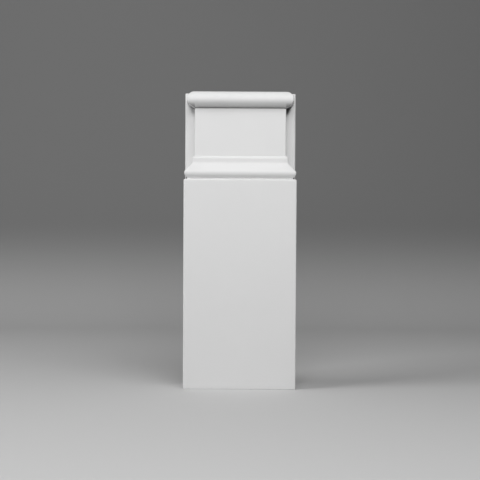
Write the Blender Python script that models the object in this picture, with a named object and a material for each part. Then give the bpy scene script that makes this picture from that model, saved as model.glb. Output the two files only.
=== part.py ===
"""Plinth block of a door surround: the foot that a door casing stands on, cast in one piece.

A plain slab stands on the floor. A narrower neck rises from it, with a rounded bead around its
top and a splayed base moulding around its foot. A flat board runs up behind the neck. Both
mouldings turn the front corners in a mitre, run back along the sides and die into the board.

Units are metres and +Z is up. The front faces -Y, and the origin lies on the floor under the
middle of the block.
"""

import math

import bmesh
import bpy

# The whole block, and the share of its height above the slab
WIDTH = 0.110
HEIGHT = 0.291
NECK_HEIGHT = 0.086

# From back to front: the board, the neck that stands out from it, and the slab beyond the neck
BOARD_THICKNESS = 0.0065
NECK_RELIEF = 0.0183
SLAB_PROJECTION = 0.0102

# The slab's top: a rounded arris, and a ledge that rises a little towards the neck
ARRIS_RADIUS = 0.0012
LEDGE_RISE = 0.0004

# The base moulding: a quirk on the ledge, a nose rounded under by its turn, a splay, a hollow
# and a fillet
QUIRK_HEIGHT = 0.0029
QUIRK_DEPTH = 0.0028
NOSE_SETBACK = 0.0005
NOSE_RADIUS = 0.0055
NOSE_TURN = math.radians(32)
SOFFIT_DROP = 0.002
SHOULDER_RADIUS = 0.0035
SPLAY_ANGLE = math.radians(44)
HOLLOW_RADIUS = 0.0045
FILLET_PROJECTION = 0.0021
FILLET_FACE = 0.0028
FILLET_EASE = 0.0027

# The bead around the top: its crown above the nose, the depth and height of the roll below it, the
# slope of the straight underside, and how far the bead stays inside the slab's face
BEAD_CROWN = 0.0081
BEAD_ROLL_DEPTH = 0.0045
BEAD_ROLL_HEIGHT = 0.0052
BEAD_TURN = math.radians(58)
BEAD_SETBACK = 0.0032

# The eased corners, where the front turns into the sides
CORNER_RADIUS = 0.0008

# The flats that each round stretch is cut into
ARRIS_STEPS = 5
NOSE_STEPS = 8
HOLLOW_STEPS = 6
FILLET_STEPS = 6
BEAD_STEPS = 12
CORNER_STEPS = 4
SMOOTH_BELOW = math.radians(30)
MERGE_DISTANCE = 1e-6

# The coat of white primer
PRIMER_COLOUR = (0.80, 0.80, 0.80, 1.0)
PRIMER_ROUGHNESS = 0.55

# Places that follow from the sizes above
DEPTH = BOARD_THICKNESS + NECK_RELIEF + SLAB_PROJECTION
BACK = DEPTH / 2
BOARD_FRONT = BACK - BOARD_THICKNESS
NECK_FRONT = BOARD_FRONT - NECK_RELIEF
NECK_HALF_WIDTH = WIDTH / 2 - SLAB_PROJECTION
SLAB_HEIGHT = HEIGHT - NECK_HEIGHT
NOSE_PROJECTION = SLAB_PROJECTION - NOSE_SETBACK
BEAD_PROJECTION = SLAB_PROJECTION - BEAD_SETBACK

# Directions on an arc, as angles
OUTWARD = 0.0
UPWARD = math.pi / 2
INWARD = math.pi
DOWNWARD = -math.pi / 2


def arc(centre, radii, start, end, steps):
    """Points along part of an ellipse, from the start angle to the end angle."""
    points = []
    for step in range(steps + 1):
        angle = start + (end - start) * step / steps
        first = centre[0] + radii[0] * math.cos(angle)
        second = centre[1] + radii[1] * math.sin(angle)
        points.append((first, second))
    return points


def slab_profile():
    """The slab's face and its rounded top arris, as projection from the neck and height."""
    centre = (SLAB_PROJECTION - ARRIS_RADIUS, SLAB_HEIGHT - ARRIS_RADIUS)
    arris = arc(centre, (ARRIS_RADIUS, ARRIS_RADIUS), OUTWARD, UPWARD, ARRIS_STEPS)
    return [(SLAB_PROJECTION, 0.0)] + arris


def nose_profile():
    """The quirk and the sloping soffit over it, the nose's round underside and the shoulder."""
    ledge = SLAB_HEIGHT + LEDGE_RISE
    quirk_face = NOSE_PROJECTION - QUIRK_DEPTH
    quirk = [(quirk_face, ledge), (quirk_face, ledge + QUIRK_HEIGHT - SOFFIT_DROP)]
    nose_height = ledge + QUIRK_HEIGHT + NOSE_RADIUS * math.sin(NOSE_TURN)
    underside = arc(
        (NOSE_PROJECTION - NOSE_RADIUS, nose_height),
        (NOSE_RADIUS, NOSE_RADIUS),
        -NOSE_TURN,
        OUTWARD,
        NOSE_STEPS,
    )
    shoulder = arc(
        (NOSE_PROJECTION - SHOULDER_RADIUS, nose_height),
        (SHOULDER_RADIUS, SHOULDER_RADIUS),
        OUTWARD,
        SPLAY_ANGLE,
        NOSE_STEPS,
    )
    return quirk + underside + shoulder[1:]


def fillet_profile(shoulder_end):
    """The hollow that ends the splay, and the fillet with its eased top edge."""
    run = shoulder_end[0] - FILLET_PROJECTION
    splay_end = shoulder_end[1] + run / math.tan(SPLAY_ANGLE)
    hollow_top = splay_end + HOLLOW_RADIUS * math.tan(SPLAY_ANGLE / 2)
    hollow = arc(
        (FILLET_PROJECTION + HOLLOW_RADIUS, hollow_top),
        (HOLLOW_RADIUS, HOLLOW_RADIUS),
        INWARD + SPLAY_ANGLE,
        INWARD,
        HOLLOW_STEPS,
    )
    ease = arc(
        (0.0, hollow_top + FILLET_FACE),
        (FILLET_PROJECTION, FILLET_EASE),
        OUTWARD,
        UPWARD,
        FILLET_STEPS,
    )
    return hollow + ease


def bead_profile():
    """The bead's straight underside, the roll up to its nose and the crown above that."""
    nose_height = HEIGHT - BEAD_CROWN
    roll_end = math.atan(math.tan(BEAD_TURN) * BEAD_ROLL_HEIGHT / BEAD_ROLL_DEPTH)
    roll = arc(
        (BEAD_PROJECTION - BEAD_ROLL_DEPTH, nose_height),
        (BEAD_ROLL_DEPTH, BEAD_ROLL_HEIGHT),
        -roll_end,
        OUTWARD,
        BEAD_STEPS,
    )
    crown = arc((0.0, nose_height), (BEAD_PROJECTION, BEAD_CROWN), OUTWARD, UPWARD, BEAD_STEPS)
    root = (0.0, roll[0][1] - roll[0][0] / math.tan(BEAD_TURN))
    return [root] + roll + crown[1:]


def block_profile():
    """Projection beyond the neck against height, from the floor to the top of the block."""
    nose = nose_profile()
    return slab_profile() + nose + fillet_profile(nose[-1]) + bead_profile()


def plan_outline(projection):
    """The block's outline seen from above where its mouldings stand this far off the neck."""
    side = NECK_HALF_WIDTH + projection
    front = NECK_FRONT - projection
    corner = arc(
        (side - CORNER_RADIUS, front + CORNER_RADIUS),
        (CORNER_RADIUS, CORNER_RADIUS),
        OUTWARD,
        DOWNWARD,
        CORNER_STEPS,
    )
    right = [(WIDTH / 2, BACK), (WIDTH / 2, BOARD_FRONT), (side, BOARD_FRONT)] + corner
    left = [(-x, y) for x, y in right]
    return left + right[::-1]


def block_mesh(name):
    """The profile swept round the front and both sides, closed by the board and flat ends."""
    shape = bmesh.new()
    rings = []
    for projection, height in block_profile():
        outline = plan_outline(projection)
        rings.append([shape.verts.new((x, y, height)) for x, y in outline])
    for below, above in zip(rings, rings[1:]):
        for index in range(len(below)):
            following = (index + 1) % len(below)
            corners = (below[index], below[following], above[following], above[index])
            shape.faces.new(corners)
    shape.faces.new(rings[0][::-1])
    shape.faces.new(rings[-1])
    # The slab is as wide as the board, so along its sides the two share one corner line.
    bmesh.ops.remove_doubles(shape, verts=shape.verts, dist=MERGE_DISTANCE)
    mesh = bpy.data.meshes.new(name)
    shape.to_mesh(mesh)
    shape.free()
    mesh.shade_smooth()
    mesh.set_sharp_from_angle(angle=SMOOTH_BELOW)
    return mesh


def primer_material():
    """White primer, as the casting comes before it is painted."""
    material = bpy.data.materials.new("white_primer")
    material.use_nodes = True
    shader = material.node_tree.nodes["Principled BSDF"]
    shader.inputs["Base Color"].default_value = PRIMER_COLOUR
    shader.inputs["Roughness"].default_value = PRIMER_ROUGHNESS
    return material


def main():
    for old in list(bpy.data.objects):
        bpy.data.objects.remove(old, do_unlink=True)
    mesh = block_mesh("plinth_block")
    mesh.materials.append(primer_material())
    block = bpy.data.objects.new("plinth_block", mesh)
    bpy.context.scene.collection.objects.link(block)


if __name__ == "__main__":
    main()
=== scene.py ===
import math

import bmesh
import bpy
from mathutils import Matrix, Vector


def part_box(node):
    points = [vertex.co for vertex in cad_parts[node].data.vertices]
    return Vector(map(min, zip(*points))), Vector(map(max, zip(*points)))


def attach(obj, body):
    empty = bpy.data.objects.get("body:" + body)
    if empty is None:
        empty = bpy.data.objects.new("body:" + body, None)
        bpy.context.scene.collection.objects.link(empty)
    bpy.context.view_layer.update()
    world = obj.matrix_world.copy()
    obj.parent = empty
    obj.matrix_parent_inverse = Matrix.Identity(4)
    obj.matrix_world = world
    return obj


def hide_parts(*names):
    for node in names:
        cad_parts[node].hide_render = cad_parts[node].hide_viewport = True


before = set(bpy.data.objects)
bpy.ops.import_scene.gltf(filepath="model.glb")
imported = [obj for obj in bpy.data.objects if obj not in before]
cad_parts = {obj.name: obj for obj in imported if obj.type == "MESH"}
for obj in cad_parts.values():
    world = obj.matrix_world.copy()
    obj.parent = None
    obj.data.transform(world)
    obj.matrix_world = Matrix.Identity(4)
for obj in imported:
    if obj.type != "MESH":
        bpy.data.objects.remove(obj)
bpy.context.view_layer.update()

bl_info = {
    "name": "Door Surround Plinth Block",
    "version": (1, 0, 0),
    "blender": (4, 5, 0),
    "location": "View3D > Sidebar > Plinth Block",
    "description": "Makes the primed plinth block that stands at the foot of a door surround",
    "category": "Add Mesh",
}

BLOCK_NODE = "plinth_block"
BLOCK_LOW, BLOCK_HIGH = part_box(BLOCK_NODE)
WIDTH = BLOCK_HIGH[0] - BLOCK_LOW[0]
DEPTH = BLOCK_HIGH[1] - BLOCK_LOW[1]
HEIGHT = BLOCK_HIGH[2] - BLOCK_LOW[2]

# Directions on an arc, as angles
OUTWARD = 0.0
UPWARD = math.pi / 2
INWARD = math.pi
DOWNWARD = -math.pi / 2

# The flats that each round stretch of the profile is cut into
END_STEPS = 5
ARRIS_STEPS = 10
CREASE_STEPS = 4
NOSE_STEPS = 10
HOLLOW_STEPS = 12
FILLET_STEPS = 12
ROLL_STEPS = 24
CROWN_STEPS = 30

# The same for the round stretches of the outline seen from above
HEEL_STEPS = 3
BOARD_EDGE_STEPS = 6
ROOT_STEPS = 5
CORNER_STEPS = 8

# The parts that the profile's straights are cut into: slab, ledge, quirk, splay, fillet and neck,
# and then the bead's underside
PROFILE_CUTS = (50, 3, 2, 8, 3, 14)
UNDERSIDE_CUTS = 6

# The same for the outline: half the back, the board's side and front, the neck's side and half
# its front
OUTLINE_CUTS = (10, 3, 3, 8, 16)

# The most of the board's open strip that its eased edge and the hollow beside the neck take up
BOARD_EASE_SHARE = 0.55
ROOT_SHARE = 0.3

# Edges flatter than this are shaded smooth, points closer than this are one, and a face whose
# normal keeps this close to an axis faces that way
SMOOTH_BELOW = math.radians(40)
MERGE_DISTANCE = 1e-6
FACING = 0.99

# Painted shade and a lighter edge tone by how open the surface is, from where they start to where
# they are full: painted shade in the corners under the bead's ends, along the lines where two faces
# meet and under the bead's front, and on the arrises a lighter tone that is partly painted highlight
# and partly rubbed wear, with the reach that finds an arris
CORNER_OPENNESS = (0.76, 0.62)
SEAM_OPENNESS = (0.85, 0.6)
CREASE_OPENNESS = (0.97, 0.6)
ARRIS_OPENNESS = (0.75, 0.35)
ARRIS_REACH = 0.0008

# Painted shade by height, from where it starts to where it is full, above the line where the bead
# meets the neck
CORNER_FULL = -0.0025
SEAM_HEIGHTS = (-0.0005, 0.001)
CREASE_HEIGHTS = (-0.0025, 0.0015)
TIP_FOOT = (-0.003, -0.002)
TIP_TOP = (0.0048, 0.0)

# Painted shade by depth: on the bead's ends from the neck's face, and in the quirk's ends from the
# board's
TIP_DEPTHS = (0.002, 0.0)
NOTCH_DEPTHS = (-0.009, -0.003)

# Painted shade in the quirk's ends, from the quirk's side, from the ledge and from the quirk's top
NOTCH_SIDES = (-0.0002, 0.0002)
NOTCH_FOOT = (-0.0003, 0.0002)
NOTCH_TOP = (0.001, -0.0009)

# How far the painted shade fades out round the neck's corners
PAINTED_SHADE_EDGE = 0.0003

# The bare foam: its pores, from rim to bottom, and its sanding lines, drawn out upright
FOAM_ROUGHNESS = 0.85
PORE_SCALE = 900.0
PORE_RIM = (0.32, 0.12)
LINE_SCALE = 1500.0
LINE_STRETCH = (1.0, 1.0, 0.03)
LINE_NOISE = (0.55, 0.75)

# The paper: where its curve starts behind the block, the curve's radius and steps, how far the
# paper reaches, and the height over which it turns from pale to grey
SWEEP_START = 0.5
SWEEP_RADIUS = 0.5
SWEEP_STEPS = 32
SWEEP_REACH = 2.5
SWEEP_FADE = 0.16
PAPER_ROUGHNESS = 0.9

# The side of each square softbox
LIGHT_SIZE = 0.6


def length_setting(name, description, default):
    """A size in metres that a user can change."""
    return bpy.props.FloatProperty(
        name=name, description=description, default=default, min=0.0, unit="LENGTH", precision=5
    )


def angle_setting(name, description, degrees):
    """An angle that a user can change."""
    return bpy.props.FloatProperty(
        name=name, description=description, default=math.radians(degrees), subtype="ANGLE"
    )


def share_setting(name, description, default):
    """A share from 0 to 1 that a user can change."""
    return bpy.props.FloatProperty(
        name=name, description=description, default=default, min=0.0, max=1.0
    )


def colour_setting(name, description, default):
    """A colour that a user can change."""
    return bpy.props.FloatVectorProperty(
        name=name, description=description, default=default, subtype="COLOR", size=4, min=0.0, max=1.0
    )


class PlinthSizes(bpy.types.PropertyGroup):
    """Sizes of the plinth block."""

    neck_height: length_setting("Neck height", "From the slab's ledge to the top", 0.086)
    board_thickness: length_setting("Board thickness", "The board behind the neck", 0.0065)
    slab_projection: length_setting("Slab projection", "How far the slab passes the neck", 0.0102)
    arris_radius: length_setting("Ledge arris", "Rounding of the slab's top edge", 0.0012)
    ledge_rise: length_setting("Ledge rise", "How much the ledge rises to the neck", 0.0004)
    quirk_height: length_setting("Quirk height", "Upright band between ledge and nose", 0.0029)
    quirk_depth: length_setting("Quirk depth", "How far the band sits behind the nose", 0.0028)
    nose_setback: length_setting("Nose setback", "Nose inside the slab's face", 0.0005)
    nose_radius: length_setting("Nose radius", "Rounding under the nose", 0.0055)
    nose_turn: angle_setting("Nose turn", "How far the nose rounds under", 32)
    soffit_drop: length_setting("Soffit drop", "Fall of the soffit behind the nose", 0.002)
    shoulder_radius: length_setting("Shoulder radius", "Rounding over the nose", 0.0035)
    splay_angle: angle_setting("Splay angle", "Tilt of the splay from upright", 44)
    hollow_radius: length_setting("Hollow radius", "Hollow above the splay", 0.0045)
    fillet_projection: length_setting("Fillet projection", "Fillet beyond the neck", 0.0021)
    fillet_face: length_setting("Fillet face", "Upright part of the fillet", 0.0028)
    fillet_ease: length_setting("Fillet ease", "Rounded top of the fillet", 0.0027)
    bead_crown: length_setting("Bead crown", "Height of the bead above its nose", 0.0081)
    roll_depth: length_setting("Roll depth", "Depth of the roll under the bead's nose", 0.0045)
    roll_height: length_setting("Roll height", "Height of the roll under the bead's nose", 0.0052)
    bead_turn: angle_setting("Bead turn", "Slope of the bead's straight underside", 58)
    groove: length_setting("Groove", "Fine groove under the bead", 0.0009)
    bead_setback: length_setting("Bead setback", "Bead inside the slab's face", 0.0032)
    corner_radius: length_setting("Corner radius", "Eased front corners", 0.0008)
    board_ease: length_setting("Board ease", "Eased front edges of the board", 0.0014)
    root_radius: length_setting("Root radius", "Hollow where sides meet the board", 0.0008)
    crease_radius: length_setting("Crease radius", "Hollow behind the ledge", 0.0003)
    end_ease: length_setting("End ease", "Eased edges at the foot and the top", 0.0005)


class PlinthFinish(bpy.types.PropertyGroup):
    """Colours and finish of the plinth block."""

    primer: colour_setting("Primer", "The coat of white primer", (0.73, 0.73, 0.73, 1.0))
    primer_thin: colour_setting("Thin primer", "Primer where the coat is thin", (0.71, 0.71, 0.71, 1.0))
    # Painted highlight and rubbed wear: a lighter primer tone laid on the arrises.
    edge_highlight_and_wear: colour_setting(
        "Rubbed edge", "Primer rubbed thin on the arrises", (0.76, 0.76, 0.75, 1.0)
    )
    # Painted shade: this near-black colour, with the reaches, strengths and height below, paints shade
    # into the primer in the corners under the bead's ends, along the lines where they meet the board,
    # under the bead's front and in the quirk's ends; the left corner's shade is weaker.
    painted_shade_colour: colour_setting(
        "Corner dust", "Dust in the corners under the bead", (0.03, 0.03, 0.03, 1.0)
    )
    corner_reach: length_setting("Corner reach", "How far away a wall still shelters dust", 0.008)
    contact_reach: length_setting("Contact reach", "Width of the dust along a meeting line", 0.003)
    end_shade_strength: share_setting("End dust", "Dust on the underside of the bead's ends", 0.68)
    left_shade_strength: share_setting("Left dust", "Dust in the left corner against the right one", 0.45)
    corner_height: length_setting("Corner height", "How far down from the bead dust lies", 0.0095)
    bare_back: colour_setting("Bare back", "The sanded foam of the back", (0.70, 0.67, 0.60, 1.0))
    pore: colour_setting("Pore", "Open pores in the foam", (0.50, 0.47, 0.40, 1.0))
    scored: colour_setting("Scored foam", "Fine sanding lines in the foam", (0.64, 0.61, 0.54, 1.0))
    roughness: share_setting("Roughness", "Roughness of the primer", 0.5)
    sheen_variation: share_setting("Gloss variation", "How much the roughness varies", 0.12)


class PlinthStudio(bpy.types.PropertyGroup):
    """Stage and camera."""

    floor: colour_setting("Floor", "The plain floor", (0.55, 0.55, 0.55, 1.0))
    backdrop: colour_setting("Backdrop", "The plain backdrop", (0.26, 0.26, 0.26, 1.0))
    camera_distance: length_setting("Camera distance", "From the slab's face", 1.0)
    camera_elevation: angle_setting("Camera elevation", "Height of the view", 1.5)
    camera_roll: angle_setting("Camera roll", "Tilt of the picture", 0.3)
    frame_height: length_setting("Frame height", "Picture height at the slab's face", 0.467)
    aim_right: length_setting("Aim right", "Aim beside the middle of the face", 0.00017)
    aim_up: length_setting("Aim up", "Aim above the middle of the face", 0.0004)


def arc(centre, radii, start, end, steps):
    """Points along part of an ellipse, from the start angle to the end angle."""
    points = []
    for step in range(steps + 1):
        angle = start + (end - start) * step / steps
        first = centre[0] + radii[0] * math.cos(angle)
        second = centre[1] + radii[1] * math.sin(angle)
        points.append((first, second))
    return points


def between(start, end, steps):
    """Points strictly between two points, evenly spaced."""
    points = []
    for step in range(1, steps):
        share = step / steps
        first = start[0] + (end[0] - start[0]) * share
        second = start[1] + (end[1] - start[1]) * share
        points.append((first, second))
    return points


def joined(stretches, steps):
    """Stretches of a line joined end to end, each straight gap cut into steps."""
    points = list(stretches[0])
    for stretch, count in zip(stretches[1:], steps):
        points += between(points[-1], stretch[0], count) + list(stretch)
    return points


def neck_half_width(sizes):
    """How far the neck's sides are from the middle."""
    return WIDTH / 2 - sizes.slab_projection


def ledge_height(sizes):
    """The height at which the ledge meets the quirk."""
    return HEIGHT - sizes.neck_height + sizes.ledge_rise


def slab_stretch(sizes):
    """The rounded arris along the slab's top."""
    radius = sizes.arris_radius
    centre = (sizes.slab_projection - radius, HEIGHT - sizes.neck_height - radius)
    return arc(centre, (radius, radius), OUTWARD, UPWARD, ARRIS_STEPS)


def quirk_stretch(sizes):
    """The crease between the ledge and the quirk's upright band."""
    radius = sizes.crease_radius
    face = sizes.slab_projection - sizes.nose_setback - sizes.quirk_depth
    centre = (face + radius, ledge_height(sizes) + radius)
    return arc(centre, (radius, radius), DOWNWARD, -INWARD, CREASE_STEPS)


def nose_stretch(sizes):
    """The soffit over the quirk, the nose's round underside and the shoulder above it."""
    projection = sizes.slab_projection - sizes.nose_setback
    radius = sizes.nose_radius
    shoulder = sizes.shoulder_radius
    turn = sizes.nose_turn
    soffit = ledge_height(sizes) + sizes.quirk_height
    height = soffit + radius * math.sin(turn)
    underside = arc((projection - radius, height), (radius, radius), -turn, OUTWARD, NOSE_STEPS)
    upper = arc(
        (projection - shoulder, height),
        (shoulder, shoulder),
        OUTWARD,
        sizes.splay_angle,
        NOSE_STEPS,
    )
    return [(projection - sizes.quirk_depth, soffit - sizes.soffit_drop)] + underside + upper[1:]


def fillet_stretches(sizes, shoulder_end):
    """The hollow that ends the splay, and the eased top edge of the fillet above it."""
    run = shoulder_end[0] - sizes.fillet_projection
    splay_end = shoulder_end[1] + run / math.tan(sizes.splay_angle)
    radius = sizes.hollow_radius
    hollow_top = splay_end + radius * math.tan(sizes.splay_angle / 2)
    hollow = arc(
        (sizes.fillet_projection + radius, hollow_top),
        (radius, radius),
        INWARD + sizes.splay_angle,
        INWARD,
        HOLLOW_STEPS,
    )
    ease = arc(
        (0.0, hollow_top + sizes.fillet_face),
        (sizes.fillet_projection, sizes.fillet_ease),
        OUTWARD,
        UPWARD,
        FILLET_STEPS,
    )
    return [hollow, ease]


def roll_end(sizes):
    """The angle along the roll's ellipse where it turns into the bead's straight underside."""
    return math.atan(math.tan(sizes.bead_turn) * sizes.roll_height / sizes.roll_depth)


def bead_root(sizes):
    """The height at which the bead's underside meets the neck's face."""
    end = roll_end(sizes)
    nose = sizes.slab_projection - sizes.bead_setback
    projection = nose - sizes.roll_depth * (1 - math.cos(end))
    height = HEIGHT - sizes.bead_crown - sizes.roll_height * math.sin(end)
    return height - projection / math.tan(sizes.bead_turn)


def bead_stretch(sizes):
    """The fine groove in the neck's face, then the bead's underside, roll and crown."""
    projection = sizes.slab_projection - sizes.bead_setback
    nose_height = HEIGHT - sizes.bead_crown
    centre = (projection - sizes.roll_depth, nose_height)
    roll = arc(centre, (sizes.roll_depth, sizes.roll_height), -roll_end(sizes), OUTWARD, ROLL_STEPS)
    crown = arc((0.0, nose_height), (projection, sizes.bead_crown), OUTWARD, UPWARD, CROWN_STEPS)
    groove = sizes.groove
    lip = groove / 4
    top = bead_root(sizes)
    foot = top - groove
    cut = [(0.0, foot), (-groove, foot + lip), (-groove, top - lip), (0.0, top)]
    return cut + between(cut[-1], roll[0], UNDERSIDE_CUTS) + roll + crown[1:]


def block_profile(sizes):
    """Projection beyond the neck against height, from the floor to the top."""
    nose = nose_stretch(sizes)
    hollow, ease = fillet_stretches(sizes, nose[-1])
    rise = sizes.end_ease
    foot = arc((sizes.slab_projection, rise), (0.0, rise), DOWNWARD, OUTWARD, END_STEPS)
    stretches = [foot, slab_stretch(sizes), quirk_stretch(sizes), nose, hollow, ease]
    stretches.append(bead_stretch(sizes))
    return joined(stretches, PROFILE_CUTS)


def end_inset(sizes, height):
    """How far the whole outline draws in where the edges at the foot and the top are eased."""
    ease = sizes.end_ease
    to_end = min(height, HEIGHT - height)
    if to_end >= ease:
        return 0.0
    return ease - math.sqrt(ease * ease - (ease - to_end) ** 2)


def plan_outline(sizes, projection, inset):
    """The block's outline seen from above, where its mouldings stand this far off the neck."""
    middle = (BLOCK_LOW[1] + BLOCK_HIGH[1]) / 2
    edge = WIDTH / 2 - inset
    back = middle + DEPTH / 2 - inset
    board = middle + DEPTH / 2 - sizes.board_thickness + inset
    side = min(neck_half_width(sizes) + projection - inset, edge)
    front = middle - DEPTH / 2 + sizes.slab_projection - projection + inset
    spare = edge - side
    ease = min(sizes.board_ease, BOARD_EASE_SHARE * spare)
    root = min(sizes.root_radius, ROOT_SHARE * spare)
    heel = sizes.end_ease
    corner = sizes.corner_radius
    stretches = [
        [(0.0, back)],
        arc((edge - heel, back - heel), (heel, heel), UPWARD, OUTWARD, HEEL_STEPS),
        arc((edge - ease, board + ease), (ease, ease), OUTWARD, DOWNWARD, BOARD_EDGE_STEPS),
        arc((side + root, board - root), (root, root), UPWARD, INWARD, ROOT_STEPS),
        arc((side - corner, front + corner), (corner, corner), OUTWARD, DOWNWARD, CORNER_STEPS),
        [(0.0, front)],
    ]
    right = joined(stretches, OUTLINE_CUTS)
    left = [(-x, y) for x, y in right[1:-1]]
    return [right[0]] + left + right[::-1][:-1]


def block_mesh(sizes, name):
    """The profile swept round the front and both sides, closed by the board and flat ends."""
    shape = bmesh.new()
    rings = []
    for projection, height in block_profile(sizes):
        outline = plan_outline(sizes, projection, end_inset(sizes, height))
        rings.append([shape.verts.new((x, y, height)) for x, y in outline])
    for below, above in zip(rings, rings[1:]):
        for index in range(len(below)):
            following = (index + 1) % len(below)
            shape.faces.new((below[index], below[following], above[following], above[index]))
    shape.faces.new(rings[0][::-1])
    shape.faces.new(rings[-1])
    # The slab is as wide as the board, so along its sides several points meet on one line.
    bmesh.ops.remove_doubles(shape, verts=shape.verts, dist=MERGE_DISTANCE)
    mesh = bpy.data.meshes.new(name)
    shape.to_mesh(mesh)
    shape.free()
    mesh.shade_smooth()
    mesh.set_sharp_from_angle(angle=SMOOTH_BELOW)
    return mesh


def new_surface(name):
    """A new material: its nodes, links and shader, and the object's own coordinates."""
    material = bpy.data.materials.new(name)
    material.use_nodes = True
    nodes = material.node_tree.nodes
    place = nodes.new("ShaderNodeTexCoord").outputs["Object"]
    return material, nodes, material.node_tree.links, nodes["Principled BSDF"], place


def noise(nodes, links, place, scale, detail):
    """Cloudy noise over a place."""
    cloud = nodes.new("ShaderNodeTexNoise")
    cloud.inputs["Scale"].default_value = scale
    cloud.inputs["Detail"].default_value = detail
    links.new(place, cloud.inputs["Vector"])
    return cloud.outputs["Fac"]


def bump(nodes, links, height, distance, strength, below=None, sunk=False):
    """Relief from a height, raised or sunk, laid over any relief below it."""
    relief = nodes.new("ShaderNodeBump")
    relief.invert = sunk
    relief.inputs["Strength"].default_value = strength
    relief.inputs["Distance"].default_value = distance
    links.new(height, relief.inputs["Height"])
    if below is not None:
        links.new(below, relief.inputs["Normal"])
    return relief.outputs["Normal"]


def range_mask(nodes, links, source, limits, level=0.0):
    """A mask that is 0 at the first limit and 1 at the second, both measured from a level."""
    mask = nodes.new("ShaderNodeMapRange")
    mask.interpolation_type = "SMOOTHSTEP"
    mask.inputs["From Min"].default_value = level + limits[0]
    mask.inputs["From Max"].default_value = level + limits[1]
    links.new(source, mask.inputs["Value"])
    return mask.outputs["Result"]


def blended(nodes, links, mask, first, second):
    """The first colour where the mask is 0, and the second where it is 1."""
    mix = nodes.new("ShaderNodeMix")
    mix.data_type = "RGBA"
    links.new(mask, mix.inputs["Factor"])
    for socket, colour in ((mix.inputs["A"], first), (mix.inputs["B"], second)):
        if isinstance(colour, bpy.types.NodeSocket):
            links.new(colour, socket)
        else:
            socket.default_value = colour
    return mix.outputs["Result"]


def openness(nodes, reach, inside):
    """How open the surface is within a reach: outwards finds corners, inwards finds edges."""
    probe = nodes.new("ShaderNodeAmbientOcclusion")
    probe.samples = 8
    probe.inside = inside
    probe.only_local = True
    probe.inputs["Distance"].default_value = reach
    return probe.outputs["AO"]


def combined(nodes, links, operation, values):
    """Several numbers multiplied together, or the largest of them."""
    result = values[0]
    for value in values[1:]:
        step = nodes.new("ShaderNodeMath")
        step.operation = operation
        links.new(result, step.inputs[0])
        links.new(value, step.inputs[1])
        result = step.outputs["Value"]
    return result


def painted_shade_spot(nodes, links, place, finish):
    """What the painted shade goes by: where the surface is, and how sheltered it is there."""
    split = nodes.new("ShaderNodeSeparateXYZ")
    links.new(place, split.inputs["Vector"])
    absolute = nodes.new("ShaderNodeMath")
    absolute.operation = "ABSOLUTE"
    links.new(split.outputs["X"], absolute.inputs[0])
    return {
        "across": split.outputs["X"],
        "aside": absolute.outputs["Value"],
        "depth": split.outputs["Y"],
        "height": split.outputs["Z"],
        "shelter": openness(nodes, finish.corner_reach, False),
        "contact": openness(nodes, finish.contact_reach, False),
    }


def corner_patch(nodes, links, spot, sizes, finish):
    """Painted shade in the corners under the bead's two ends, weaker in the left one."""
    lean = nodes.new("ShaderNodeMapRange")
    lean.inputs["From Min"].default_value = -neck_half_width(sizes)
    lean.inputs["From Max"].default_value = neck_half_width(sizes)
    lean.inputs["To Min"].default_value = finish.left_shade_strength
    links.new(spot["across"], lean.inputs["Value"])
    heights = (-finish.corner_height, CORNER_FULL)
    below = range_mask(nodes, links, spot["height"], heights, bead_root(sizes))
    deep = range_mask(nodes, links, spot["shelter"], CORNER_OPENNESS)
    return combined(nodes, links, "MULTIPLY", [below, deep, lean.outputs["Result"]])


def seam_patch(nodes, links, spot, sizes):
    """Painted shade along the lines where the bead's ends meet the board."""
    above = range_mask(nodes, links, spot["height"], SEAM_HEIGHTS, bead_root(sizes))
    line = range_mask(nodes, links, spot["contact"], SEAM_OPENNESS)
    return combined(nodes, links, "MULTIPLY", [above, line])


def tip_patch(nodes, links, spot, sizes, finish):
    """A weaker painted shade on the undersides of the bead's ends, ahead of the neck's face."""
    root = bead_root(sizes)
    neck_front = BLOCK_LOW[1] + sizes.slab_projection
    forward = range_mask(nodes, links, spot["depth"], TIP_DEPTHS, neck_front)
    over = range_mask(nodes, links, spot["height"], TIP_FOOT, root)
    under = range_mask(nodes, links, spot["height"], TIP_TOP, root)
    thin = nodes.new("ShaderNodeValue").outputs["Value"]
    thin.default_value = finish.end_shade_strength
    return combined(nodes, links, "MULTIPLY", [forward, over, under, thin])


def end_patches(nodes, links, spot, sizes, finish):
    """All the painted shade beside the neck, round the bead's two ends."""
    corner = corner_patch(nodes, links, spot, sizes, finish)
    seam = seam_patch(nodes, links, spot, sizes)
    tip = tip_patch(nodes, links, spot, sizes, finish)
    shade_layer = combined(nodes, links, "MAXIMUM", [corner, seam, tip])
    beside = range_mask(nodes, links, spot["aside"], (-PAINTED_SHADE_EDGE, 0.0), neck_half_width(sizes))
    return combined(nodes, links, "MULTIPLY", [beside, shade_layer])


def crease_patch(nodes, links, spot, sizes):
    """Painted shade in the crease under the bead's front."""
    front = range_mask(nodes, links, spot["aside"], (0.0, -PAINTED_SHADE_EDGE), neck_half_width(sizes))
    level = range_mask(nodes, links, spot["height"], CREASE_HEIGHTS, bead_root(sizes))
    near = range_mask(nodes, links, spot["shelter"], CREASE_OPENNESS)
    return combined(nodes, links, "MULTIPLY", [front, level, near])


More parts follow.
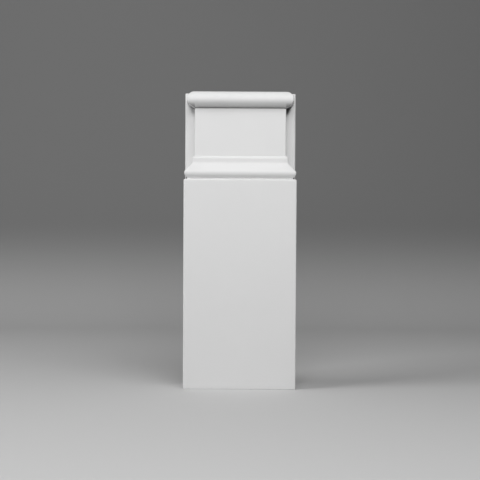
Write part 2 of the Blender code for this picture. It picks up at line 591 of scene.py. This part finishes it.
def notch_patch(nodes, links, spot, sizes):
    """Painted shade in the quirk's two ends, near the board."""
    ledge = ledge_height(sizes)
    quirk_side = WIDTH / 2 - sizes.nose_setback - sizes.quirk_depth
    board_front = BLOCK_HIGH[1] - sizes.board_thickness
    outside = range_mask(nodes, links, spot["aside"], NOTCH_SIDES, quirk_side)
    over = range_mask(nodes, links, spot["height"], NOTCH_FOOT, ledge)
    under = range_mask(nodes, links, spot["height"], NOTCH_TOP, ledge + sizes.quirk_height)
    rear = range_mask(nodes, links, spot["depth"], NOTCH_DEPTHS, board_front)
    line = range_mask(nodes, links, spot["contact"], SEAM_OPENNESS)
    return combined(nodes, links, "MULTIPLY", [outside, over, under, rear, line])


def painted_shade_mask(nodes, links, place, sizes, finish):
    """Where shade is painted: round the bead's ends, under its front, and in the quirk's two ends."""
    spot = painted_shade_spot(nodes, links, place, finish)
    ends = end_patches(nodes, links, spot, sizes, finish)
    crease = crease_patch(nodes, links, spot, sizes)
    notch = notch_patch(nodes, links, spot, sizes)
    return combined(nodes, links, "MAXIMUM", [ends, crease, notch])


def primer_material(sizes, finish):
    """White primer with a fine orange peel, lighter on the arrises as painted highlight and rubbed
    wear, and with painted shade in the corners.
    """
    material, nodes, links, shader, place = new_surface("primer_coat")
    cloud = noise(nodes, links, place, scale=28.0, detail=4.0)
    coat = blended(nodes, links, cloud, finish.primer, finish.primer_thin)
    # The arrises are lighter: partly painted highlight, partly rubbed wear.
    arris = range_mask(nodes, links, openness(nodes, ARRIS_REACH, True), ARRIS_OPENNESS)
    highlit_and_worn_coat = blended(nodes, links, arris, coat, finish.edge_highlight_and_wear)
    # Painted shade: a near-black colour laid where shade falls round the bead's ends, under its front
    # and in the quirk's ends.
    shade_layer = painted_shade_mask(nodes, links, place, sizes, finish)
    links.new(blended(nodes, links, shade_layer, highlit_and_worn_coat, finish.painted_shade_colour), shader.inputs["Base Color"])

    gloss = nodes.new("ShaderNodeMapRange")
    gloss.inputs["To Min"].default_value = finish.roughness - finish.sheen_variation / 2
    gloss.inputs["To Max"].default_value = finish.roughness + finish.sheen_variation / 2
    links.new(cloud, gloss.inputs["Value"])
    links.new(gloss.outputs["Result"], shader.inputs["Roughness"])

    waves = noise(nodes, links, place, scale=90.0, detail=2.0)
    dimples = noise(nodes, links, place, scale=1100.0, detail=2.0)
    specks = noise(nodes, links, place, scale=4200.0, detail=1.0)
    flow = bump(nodes, links, waves, distance=0.00012, strength=0.3)
    peel = bump(nodes, links, dimples, distance=0.00003, strength=0.35, below=flow)
    grain = bump(nodes, links, specks, distance=0.00001, strength=0.4, below=peel)
    links.new(grain, shader.inputs["Normal"])
    return material


def bare_foam_material(finish):
    """The casting's back and underside: sanded foam with small open pores and sanding lines."""
    material, nodes, links, shader, place = new_surface("sanded_foam")
    shader.inputs["Roughness"].default_value = FOAM_ROUGHNESS
    pores = nodes.new("ShaderNodeTexVoronoi")
    pores.inputs["Scale"].default_value = PORE_SCALE
    links.new(place, pores.inputs["Vector"])
    open_pore = range_mask(nodes, links, pores.outputs["Distance"], PORE_RIM)
    foam = blended(nodes, links, open_pore, finish.bare_back, finish.pore)

    stretch = nodes.new("ShaderNodeMapping")
    stretch.inputs["Scale"].default_value = LINE_STRETCH
    links.new(place, stretch.inputs["Vector"])
    lines = noise(nodes, links, stretch.outputs["Vector"], scale=LINE_SCALE, detail=2.0)
    scored = range_mask(nodes, links, lines, LINE_NOISE)
    links.new(blended(nodes, links, scored, foam, finish.scored), shader.inputs["Base Color"])

    ridges = bump(nodes, links, lines, distance=0.00005, strength=0.4)
    pits = bump(nodes, links, open_pore, distance=0.0001, strength=0.6, below=ridges, sunk=True)
    links.new(pits, shader.inputs["Normal"])
    return material


def bare_faces(mesh):
    """Gives the flat back and the underside the second material."""
    for face in mesh.polygons:
        back = face.normal.y > FACING
        underside = face.normal.z < -FACING and face.center.z < MERGE_DISTANCE
        if back or underside:
            face.material_index = 1


class PLINTH_OT_cast_block(bpy.types.Operator):
    """Make the plinth block, cast in one piece and primed white"""

    bl_idname = "plinth.cast_block"
    bl_label = "Plinth Block"
    bl_options = {"REGISTER", "UNDO"}

    def execute(self, context):
        name = "cast_plinth_block"
        sizes = context.scene.plinth_sizes
        finish = context.scene.plinth_finish
        mesh = block_mesh(sizes, name)
        mesh.materials.append(primer_material(sizes, finish))
        mesh.materials.append(bare_foam_material(finish))
        bare_faces(mesh)
        block = bpy.data.objects.new(name, mesh)
        context.scene.collection.objects.link(block)
        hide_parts(BLOCK_NODE)
        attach(block, "root")
        return {"FINISHED"}


def paper_material(studio):
    """Plain paper, pale on the floor and greyer where it has swept up behind the block."""
    material, nodes, links, shader, place = new_surface("backdrop_paper")
    shader.inputs["Roughness"].default_value = PAPER_ROUGHNESS
    split = nodes.new("ShaderNodeSeparateXYZ")
    links.new(place, split.inputs["Vector"])
    rise = range_mask(nodes, links, split.outputs["Z"], (0.0, SWEEP_FADE))
    shade = blended(nodes, links, rise, studio.floor, studio.backdrop)
    links.new(shade, shader.inputs["Base Color"])
    return material


def paper_sweep(studio):
    """A roll of paper: level under the block, then curved up into an upright backdrop."""
    floor = BLOCK_LOW[2]
    centre = (SWEEP_START, floor + SWEEP_RADIUS)
    bend = arc(centre, (SWEEP_RADIUS, SWEEP_RADIUS), DOWNWARD, OUTWARD, SWEEP_STEPS)
    line = [(-SWEEP_REACH, floor)] + bend + [(SWEEP_START + SWEEP_RADIUS, floor + SWEEP_REACH)]
    shape = bmesh.new()
    rows = []
    for y, z in line:
        rows.append([shape.verts.new((x, y, z)) for x in (-SWEEP_REACH, SWEEP_REACH)])
    for near, far in zip(rows, rows[1:]):
        shape.faces.new((near[0], near[1], far[1], far[0]))
    mesh = bpy.data.meshes.new("paper_sweep")
    shape.to_mesh(mesh)
    shape.free()
    mesh.shade_smooth()
    mesh.materials.append(paper_material(studio))
    paper = bpy.data.objects.new("paper_sweep", mesh)
    bpy.context.scene.collection.objects.link(paper)


def soft_light(name, side, rise, distance, power):
    """A square softbox that faces the block, from degrees to the right and degrees up."""
    aim = Vector((0.0, 0.0, HEIGHT / 2))
    across = math.radians(side)
    up = math.radians(rise)
    away = Vector((math.sin(across) * math.cos(up), -math.cos(across) * math.cos(up), math.sin(up)))
    light = bpy.data.lights.new(name, "AREA")
    light.shape = "SQUARE"
    light.size = LIGHT_SIZE
    light.energy = power
    lamp = bpy.data.objects.new(name, light)
    lamp.location = aim + away * distance
    lamp.rotation_euler = (-away).to_track_quat("-Z", "Y").to_euler()
    bpy.context.scene.collection.objects.link(lamp)


def soft_lights():
    """Five softboxes: the strongest from the left, the others from the front and the right."""
    soft_light("light_left", side=-70, rise=35, distance=1.4, power=9.6)
    soft_light("light_front", side=0, rise=20, distance=1.4, power=3.8)
    soft_light("light_above", side=0, rise=40, distance=0.9, power=2.85)
    soft_light("light_right", side=35, rise=50, distance=1.4, power=4.4)
    soft_light("light_far_right", side=70, rise=35, distance=1.4, power=1.1)


def set_camera(studio):
    """A camera that looks at the middle of the slab's face."""
    middle = (BLOCK_LOW[2] + BLOCK_HIGH[2]) / 2
    focus = Vector((studio.aim_right, BLOCK_LOW[1], middle + studio.aim_up))
    rise = studio.camera_elevation
    away = Vector((0.0, -math.cos(rise), math.sin(rise)))
    data = bpy.data.cameras.new("camera")
    data.sensor_width = 36.0
    data.lens = data.sensor_width * studio.camera_distance / studio.frame_height
    camera = bpy.data.objects.new("camera", data)
    camera.location = focus + away * studio.camera_distance
    camera.rotation_euler = (-away).to_track_quat("-Z", "Y").to_euler()
    camera.rotation_euler.rotate_axis("Z", studio.camera_roll)
    bpy.context.scene.collection.objects.link(camera)
    bpy.context.scene.camera = camera


class PLINTH_OT_stage(bpy.types.Operator):
    """Set up the plain floor, the backdrop, the soft lights and the camera"""

    bl_idname = "plinth.stage"
    bl_label = "Stage"
    bl_options = {"REGISTER", "UNDO"}

    def execute(self, context):
        studio = context.scene.plinth_studio
        paper_sweep(studio)
        soft_lights()
        world = bpy.data.worlds.new("studio")
        world.use_nodes = True
        world.node_tree.nodes["Background"].inputs["Color"].default_value = (0.0, 0.0, 0.0, 1.0)
        context.scene.world = world
        context.scene.view_settings.view_transform = "Standard"
        set_camera(studio)
        return {"FINISHED"}


class PLINTH_PT_panel(bpy.types.Panel):
    """The plinth block's settings, and a button for each thing that the script makes"""

    bl_label = "Plinth Block"
    bl_idname = "PLINTH_PT_panel"
    bl_space_type = "VIEW_3D"
    bl_region_type = "UI"
    bl_category = "Plinth Block"

    def draw(self, context):
        for group in (
            context.scene.plinth_sizes,
            context.scene.plinth_finish,
            context.scene.plinth_studio,
        ):
            box = self.layout.box()
            for name in group.__annotations__:
                box.prop(group, name)
        self.layout.operator(PLINTH_OT_cast_block.bl_idname)
        self.layout.operator(PLINTH_OT_stage.bl_idname)


CLASSES = (
    PlinthSizes,
    PlinthFinish,
    PlinthStudio,
    PLINTH_OT_cast_block,
    PLINTH_OT_stage,
    PLINTH_PT_panel,
)


def register():
    for cls in CLASSES:
        bpy.utils.register_class(cls)
    bpy.types.Scene.plinth_sizes = bpy.props.PointerProperty(type=PlinthSizes)
    bpy.types.Scene.plinth_finish = bpy.props.PointerProperty(type=PlinthFinish)
    bpy.types.Scene.plinth_studio = bpy.props.PointerProperty(type=PlinthStudio)


def unregister():
    del bpy.types.Scene.plinth_studio
    del bpy.types.Scene.plinth_finish
    del bpy.types.Scene.plinth_sizes
    for cls in reversed(CLASSES):
        bpy.utils.unregister_class(cls)


def main():
    register()
    bpy.ops.plinth.cast_block()
    bpy.ops.plinth.stage()


if __name__ == "__main__":
    main()
